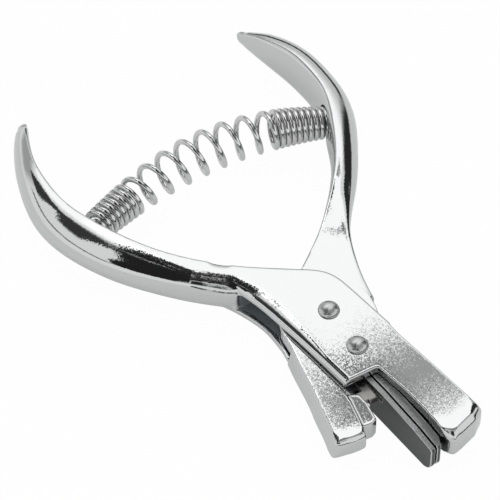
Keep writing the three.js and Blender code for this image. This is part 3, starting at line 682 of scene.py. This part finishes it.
def uneven_metal(name, color, roughness, scale, strength, height):
    """A metal with a fine unevenness of its skin, in object space."""
    made = material(name, color, roughness)
    tree = made.node_tree
    where = tree.nodes.new("ShaderNodeTexCoord")
    noise = tree.nodes.new("ShaderNodeTexNoise")
    noise.inputs["Scale"].default_value = scale
    raised = tree.nodes.new("ShaderNodeBump")
    raised.inputs["Strength"].default_value = strength
    raised.inputs["Distance"].default_value = height
    tree.links.new(where.outputs["Object"], noise.inputs["Vector"])
    tree.links.new(noise.outputs["Fac"], raised.inputs["Height"])
    tree.links.new(raised.outputs["Normal"], tree.nodes["Principled BSDF"].inputs["Normal"])
    return made


def chrome_plate():
    """Chrome whose every fine facet leans its own way, so the borders of reflections sparkle."""
    made = material("chrome", CHROME_COLOR, CHROME_ROUGHNESS)
    tree = made.node_tree
    where = tree.nodes.new("ShaderNodeTexCoord")
    cells = tree.nodes.new("ShaderNodeTexVoronoi")
    cells.inputs["Scale"].default_value = GRAIN_SCALE
    lean = tree.nodes.new("ShaderNodeVectorMath")
    lean.operation = "MULTIPLY_ADD"
    lean.inputs[1].default_value = (2 * GRAIN_TILT,) * 3
    lean.inputs[2].default_value = (-GRAIN_TILT,) * 3
    skin = tree.nodes.new("ShaderNodeNewGeometry")
    total = tree.nodes.new("ShaderNodeVectorMath")
    total.operation = "ADD"
    unit = tree.nodes.new("ShaderNodeVectorMath")
    unit.operation = "NORMALIZE"
    tree.links.new(where.outputs["Object"], cells.inputs["Vector"])
    tree.links.new(cells.outputs["Color"], lean.inputs[0])
    tree.links.new(lean.outputs[0], total.inputs[0])
    tree.links.new(skin.outputs["Normal"], total.inputs[1])
    tree.links.new(total.outputs[0], unit.inputs[0])
    tree.links.new(unit.outputs[0], tree.nodes["Principled BSDF"].inputs["Normal"])
    return made


def paint(piece, made):
    piece.data.materials.clear()
    piece.data.materials.append(made)


def darken_slot(piece):
    """The faces inside the fork's slot take a rougher, darker metal: matt, and painted shade in the recess.
    """
    mesh = piece.data
    # The slot's faces get the darker metal, as painted shade
    mesh.materials.append(finishes["slot_matt_and_shade"])
    middles = np.empty(len(mesh.polygons) * 3)
    mesh.polygons.foreach_get("center", middles)
    x, y, z = ((middles.reshape(-1, 3) - np.array(PIVOT)) / MM).T
    edge_x, edge_y = np.array(HEAD_LEFT[::-1]).T
    floor = np.where(y > FLOOR_STEP, REAR_FLOOR, FRONT_FLOOR)
    inside = (x > np.interp(y, edge_y, edge_x) + RECESS_INSET) & (x < RECESS_RIGHT)
    inside &= (y > RECESS_FRONT) & (y < RECESS_REAR) & (z > floor) & (z < RECESS_TOP)
    mesh.polygons.foreach_set("material_index", inside.astype(np.int32))
    mesh.update()


def break_edges(piece, width):
    """Narrow bevels on the sharp edges of a CAD node."""
    weld = piece.modifiers.new("weld", "WELD")
    weld.merge_threshold = WELD * MM
    bevel = piece.modifiers.new("edges", "BEVEL")
    bevel.width = width * MM
    bevel.segments = BEVEL_SEGMENTS
    bevel.limit_method = "ANGLE"
    bevel.angle_limit = math.radians(SHARP_EDGE)
    return bevel


def ground_plate(node):
    """A CAD plate, blackened, with bright metal on its broken edges as a painted highlight and a greyer
    up-facing top as painted light.
    """
    piece = frame["nodes"][node]
    paint(piece, finishes["blackened"])
    piece.data.materials.append(finishes["painted_edge_highlight"])
    piece.data.materials.append(finishes["plate_top_painted_lit"])
    for face in piece.data.polygons:
        # Faces that face up take the lighter top colour, which is painted light
        face.material_index = TOP if face.normal.z > TOP_FACING else SIDES
    bevel = break_edges(piece, PLATE_EDGE)
    bevel.use_clamp_overlap = False
    # The bevels take the bright metal, which paints a highlight along the edges
    bevel.material = EDGES


def small_part(node, finish, edge):
    """A small CAD node whose shape is right, softened at its edges."""
    piece = frame["nodes"][node]
    paint(piece, finishes[finish])
    bevel = break_edges(piece, edge)
    bevel.harden_normals = True
    piece.data.shade_smooth()


chrome = chrome_plate()
finishes = {name: uneven_metal(name, *row) for name, row in FINISHES.items()}
for skin in (die_skin, punch_skin):
    paint(skin, chrome)
darken_slot(die_skin)
for piece in rivets:
    paint(piece, finishes["nickel"])
paint(spring_wire, finishes["spring_steel"])
for node in ("stripper_plate", "die_plate"):
    ground_plate(node)
for node, (finish, slot, edge) in SMALL_PARTS.items():
    small_part(node, finish, edge)


# Studio

# Areas of the tent: azimuth from +Y towards +X, elevation and softness in degrees, then how bright
TENT_LIGHT = 1
TENT_AREAS = [
    (-5, 64, 42, 92, 8, 1.5),
    (22, 66, -30, 30, 8, 0.75),
    (-32, 18, 8, 38, 7, 0.48),
    (66, 98, 4, 46, 6, 0.03),
    (-98, -38, 18, 22, 1.5, 0.12),
    (-122, -98, 29, 75, 4, 0.03),
    (105, 172, 48, 58, 4, 0.1),
    (100, 182, -6, 12, 3, 0.06),
    (-182, -130, -6, 12, 3, 0.06),
    (-178, -128, 32, 66, 5, 0.03),
    (18, 66, -3, 12, 3, 0.06)]
# Cards hung over the object: how bright, then x, y, half width and soft edge along the middle line
CARD_HEIGHT = 300
CARDS = {
    "black_band": (0.02, [
        (-700, -190, 130, 14), (-420, -75, 95, 12), (-240, -28, 60, 12), (-130, 40, 52, 10),
        (-60, 92, 45, 10), (0, 135, 26, 9), (60, 178, 11, 6)]),
    "dark_strip": (0.05, [
        (-180, 118, 95, 60), (-175, 178, 95, 60), (-128, 230, 20, 14), (-128, 290, 38, 16),
        (-250, 480, 65, 30)]),
    "over_jaws": (0.3, [(-60, -65, 60, 25), (60, -65, 65, 25), (165, -65, 65, 25)]),
    "panel": (2.6, [(-12, 190, 14, 8), (60, 215, 22, 8)]),
    "neck_band": (0.03, [
        (50, 149, 9, 6), (34, 130, 16, 8), (8, 95, 25, 8), (-25, 48, 28, 8), (-70, 0, 28, 8),
        (-115, -50, 28, 8)]),
    "boss_grey": (0.24, [(115, 154, 20, 5), (134, 154, 20, 5)]),
    "jaw_grey": (0.5, [(104, 168, 14, 14), (114, 168, 14, 14)]),
    "grey_top": (0.46, [(130, 160, 8, 20), (152, 158, 9, 22), (185, 155, 12, 24)]),
    "right_edge": (0.03, [(165, 0, 25, 14), (240, 20, 40, 16), (340, 40, 60, 20), (560, 70, 90, 30)])}
# The floor: half its width, how far below the pivot, its shade, and how bright it shows and mirrors
FLOOR_HALF, FLOOR_DROP = 3000, 8.6
FLOOR_COLOR, FLOOR_ROUGHNESS = (0.9, 0.9, 0.9), 0.9
FLOOR_SEEN, FLOOR_MIRRORED = 0.975, 0.3


def tent_world():
    """White walls round the object, with darker and brighter areas that chrome mirrors."""
    world = bpy.data.worlds.new("tent")
    scene.world = world
    world.use_nodes = True
    tree = world.node_tree

    def maths(operation, *values):
        node = tree.nodes.new("ShaderNodeMath")
        node.operation = operation
        for socket, value in zip(node.inputs, values):
            if isinstance(value, (int, float)):
                socket.default_value = value
            else:
                tree.links.new(value, socket)
        return node.outputs[0]

    def rise(value, place, softness):
        node = tree.nodes.new("ShaderNodeMapRange")
        node.interpolation_type = "SMOOTHSTEP"
        node.inputs["From Min"].default_value = place - softness
        node.inputs["From Max"].default_value = place + softness
        tree.links.new(value, node.inputs["Value"])
        return node.outputs["Result"]

    where = tree.nodes.new("ShaderNodeTexCoord")
    split = tree.nodes.new("ShaderNodeSeparateXYZ")
    tree.links.new(where.outputs["Generated"], split.inputs[0])
    degrees = 180 / math.pi
    azimuth = maths("MULTIPLY", maths("ARCTAN2", split.outputs["X"], split.outputs["Y"]), degrees)
    elevation = maths("MULTIPLY", maths("ARCSINE", split.outputs["Z"]), degrees)
    light = TENT_LIGHT
    for west, east, low, high, softness, bright in TENT_AREAS:
        across = maths("SUBTRACT", rise(azimuth, west, softness), rise(azimuth, east, softness))
        upward = maths("SUBTRACT", rise(elevation, low, softness), rise(elevation, high, softness))
        share = maths("MULTIPLY", across, upward)
        light = maths("ADD", maths("MULTIPLY", maths("SUBTRACT", bright, light), share), light)
    path = tree.nodes.new("ShaderNodeLightPath")
    light = maths("MAXIMUM", light, path.outputs["Is Camera Ray"])
    tree.links.new(light, tree.nodes["Background"].inputs["Color"])


def card_material(name, bright):
    """An even glow that is as solid as the card's cover says."""
    made = bpy.data.materials.new(name)
    made.use_nodes = True
    tree = made.node_tree
    tree.nodes.remove(tree.nodes["Principled BSDF"])
    cover = tree.nodes.new("ShaderNodeAttribute")
    cover.attribute_name = "cover"
    light = tree.nodes.new("ShaderNodeEmission")
    light.inputs["Color"].default_value = (bright, bright, bright, 1)
    clear = tree.nodes.new("ShaderNodeBsdfTransparent")
    mix = tree.nodes.new("ShaderNodeMixShader")
    tree.links.new(cover.outputs["Fac"], mix.inputs["Fac"])
    tree.links.new(clear.outputs[0], mix.inputs[1])
    tree.links.new(light.outputs[0], mix.inputs[2])
    tree.links.new(mix.outputs[0], tree.nodes["Material Output"].inputs["Surface"])
    made.cycles.emission_sampling = "NONE"
    return made


def card(name, bright, middle_line):
    """A card over the object, seen only in its reflections, with soft edges."""
    points = [Vector((x, y, CARD_HEIGHT)) for x, y, _, _ in middle_line]
    vertices, faces, covers = [], [], []
    for k, (_, _, half, soft) in enumerate(middle_line):
        way = (points[min(k + 1, len(points) - 1)] - points[max(k - 1, 0)]).normalized()
        side = Vector((-way.y, way.x, 0))
        row = ((-half - soft, 0), (-half, 1), (half, 1), (half + soft, 0))
        for reach, cover in row:
            vertices.append(points[k] + side * reach)
            covers.append(cover)
        if k:
            here = k * len(row)
            last = here - len(row)
            faces += [(last + j, last + j + 1, here + j + 1, here + j) for j in range(len(row) - 1)]
    piece = new_object(name, vertices, faces, smooth=False)
    layer = piece.data.attributes.new("cover", "FLOAT", "POINT")
    layer.data.foreach_set("value", covers)
    piece.data.materials.append(card_material(name, bright))
    piece.visible_camera = piece.visible_diffuse = piece.visible_shadow = False


def white_floor():
    """A pale floor that shows as the white background and keeps a faint shadow."""
    corners = [(-1, -1), (1, -1), (1, 1), (-1, 1)]
    vertices = [(x * FLOOR_HALF, y * FLOOR_HALF, -FLOOR_DROP) for x, y in corners]
    floor = new_object("floor", vertices, [tuple(range(len(corners)))], smooth=False)
    made = material("floor", FLOOR_COLOR, FLOOR_ROUGHNESS, metallic=0)
    tree = made.node_tree
    light = tree.nodes.new("ShaderNodeEmission")
    path = tree.nodes.new("ShaderNodeLightPath")
    brightest = tree.nodes.new("ShaderNodeMath")
    brightest.operation = "MAXIMUM"
    glows = (("Is Camera Ray", FLOOR_SEEN), ("Is Glossy Ray", FLOOR_MIRRORED))
    for socket, (ray, glow) in zip(brightest.inputs, glows):
        share = tree.nodes.new("ShaderNodeMath")
        share.operation = "MULTIPLY"
        share.inputs[1].default_value = glow
        tree.links.new(path.outputs[ray], share.inputs[0])
        tree.links.new(share.outputs[0], socket)
    mix = tree.nodes.new("ShaderNodeMixShader")
    tree.links.new(brightest.outputs[0], mix.inputs["Fac"])
    tree.links.new(tree.nodes["Principled BSDF"].outputs[0], mix.inputs[1])
    tree.links.new(light.outputs[0], mix.inputs[2])
    tree.links.new(mix.outputs[0], tree.nodes["Material Output"].inputs["Surface"])
    floor.data.materials.append(made)


tent_world()
white_floor()
for name, (bright, middle_line) in CARDS.items():
    card(name, bright, middle_line)
scene.view_settings.view_transform = "Standard"
